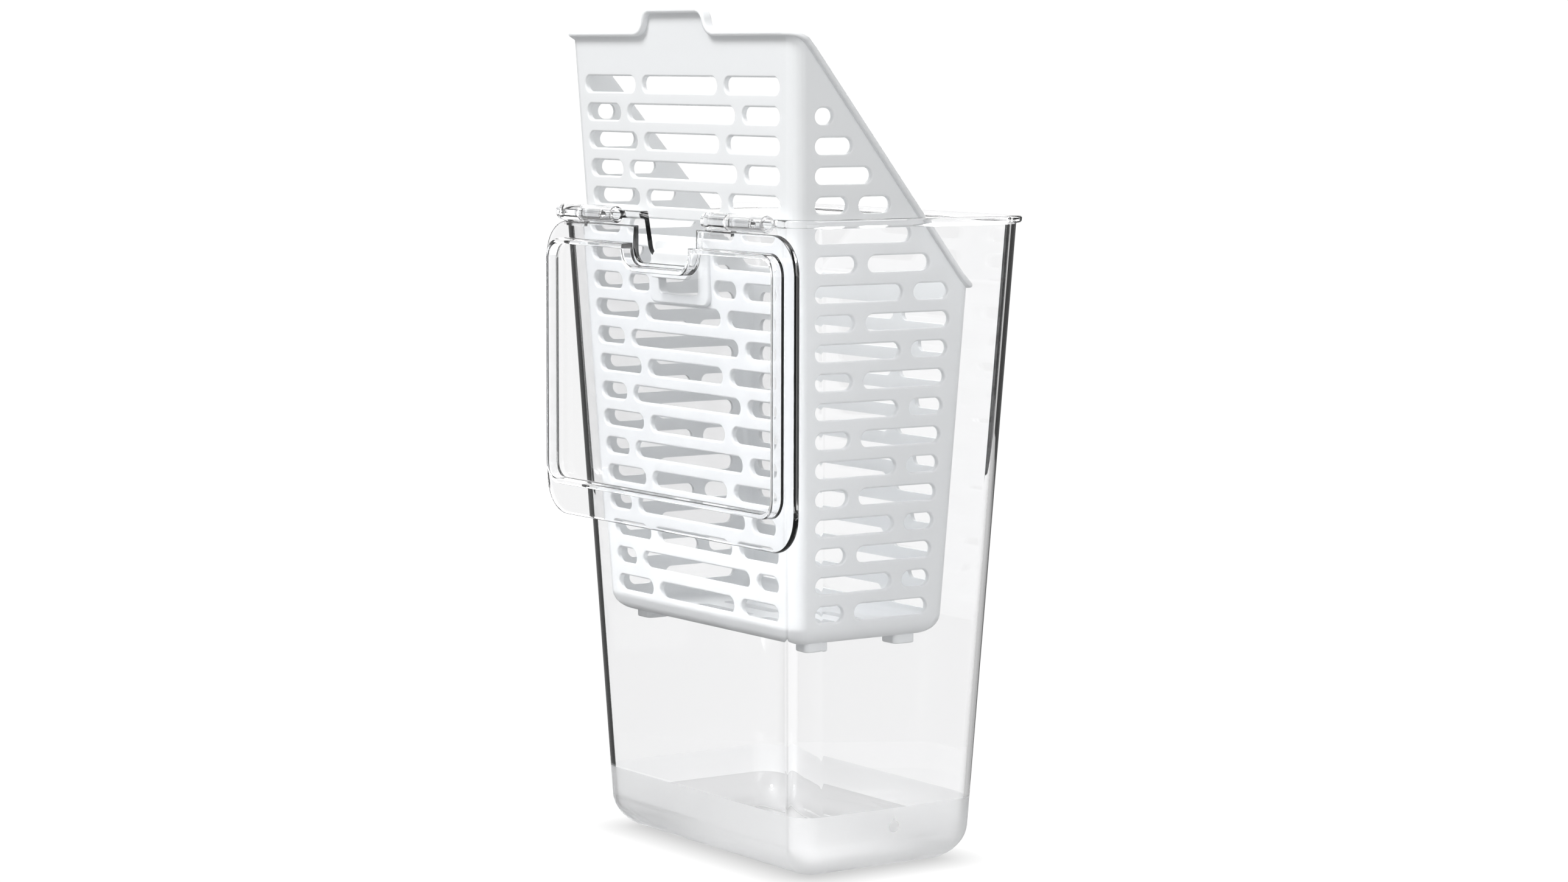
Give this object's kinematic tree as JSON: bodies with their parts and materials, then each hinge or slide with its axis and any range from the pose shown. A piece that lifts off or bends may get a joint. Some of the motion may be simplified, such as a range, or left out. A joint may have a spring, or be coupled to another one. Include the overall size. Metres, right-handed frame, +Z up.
{
  "type": "herb keeper",
  "caption": "Tapered clear storage box with a side-hung flip lid and a tall slotted lift-out basket that hooks on a wall notch to hold fresh herbs upright in water.",
  "frame": {"origin": "middle of the container's flat underside", "axes": "+Z up, -Y out of the hinge wall, +X along the hinge"},
  "size_m": [0.1682, 0.1127, 0.3148],
  "materials": {
    "clear_plastic": "clear, polished, with a frosted band at the bottom",
    "clear_lid_plastic": "clear, polished",
    "white_plastic": "satin white"
  },
  "bodies": {
    "container": {"container": "clear_plastic"},
    "lid": {"lid": "clear_lid_plastic"},
    "basket": {"basket": "white_plastic"}
  },
  "joints": [
    {"name": "lid_hinge", "type": "hinge", "parent": "container", "child": "lid", "pos_m": [0, -0.0568, 0.23845], "axis": [-1, 0, 0], "range_deg": [0, 180]},
    {"name": "basket_lift", "type": "slide", "parent": "container", "child": "basket", "axis": [0, 0, 1], "range_m": [0, 0.165]}
  ]
}
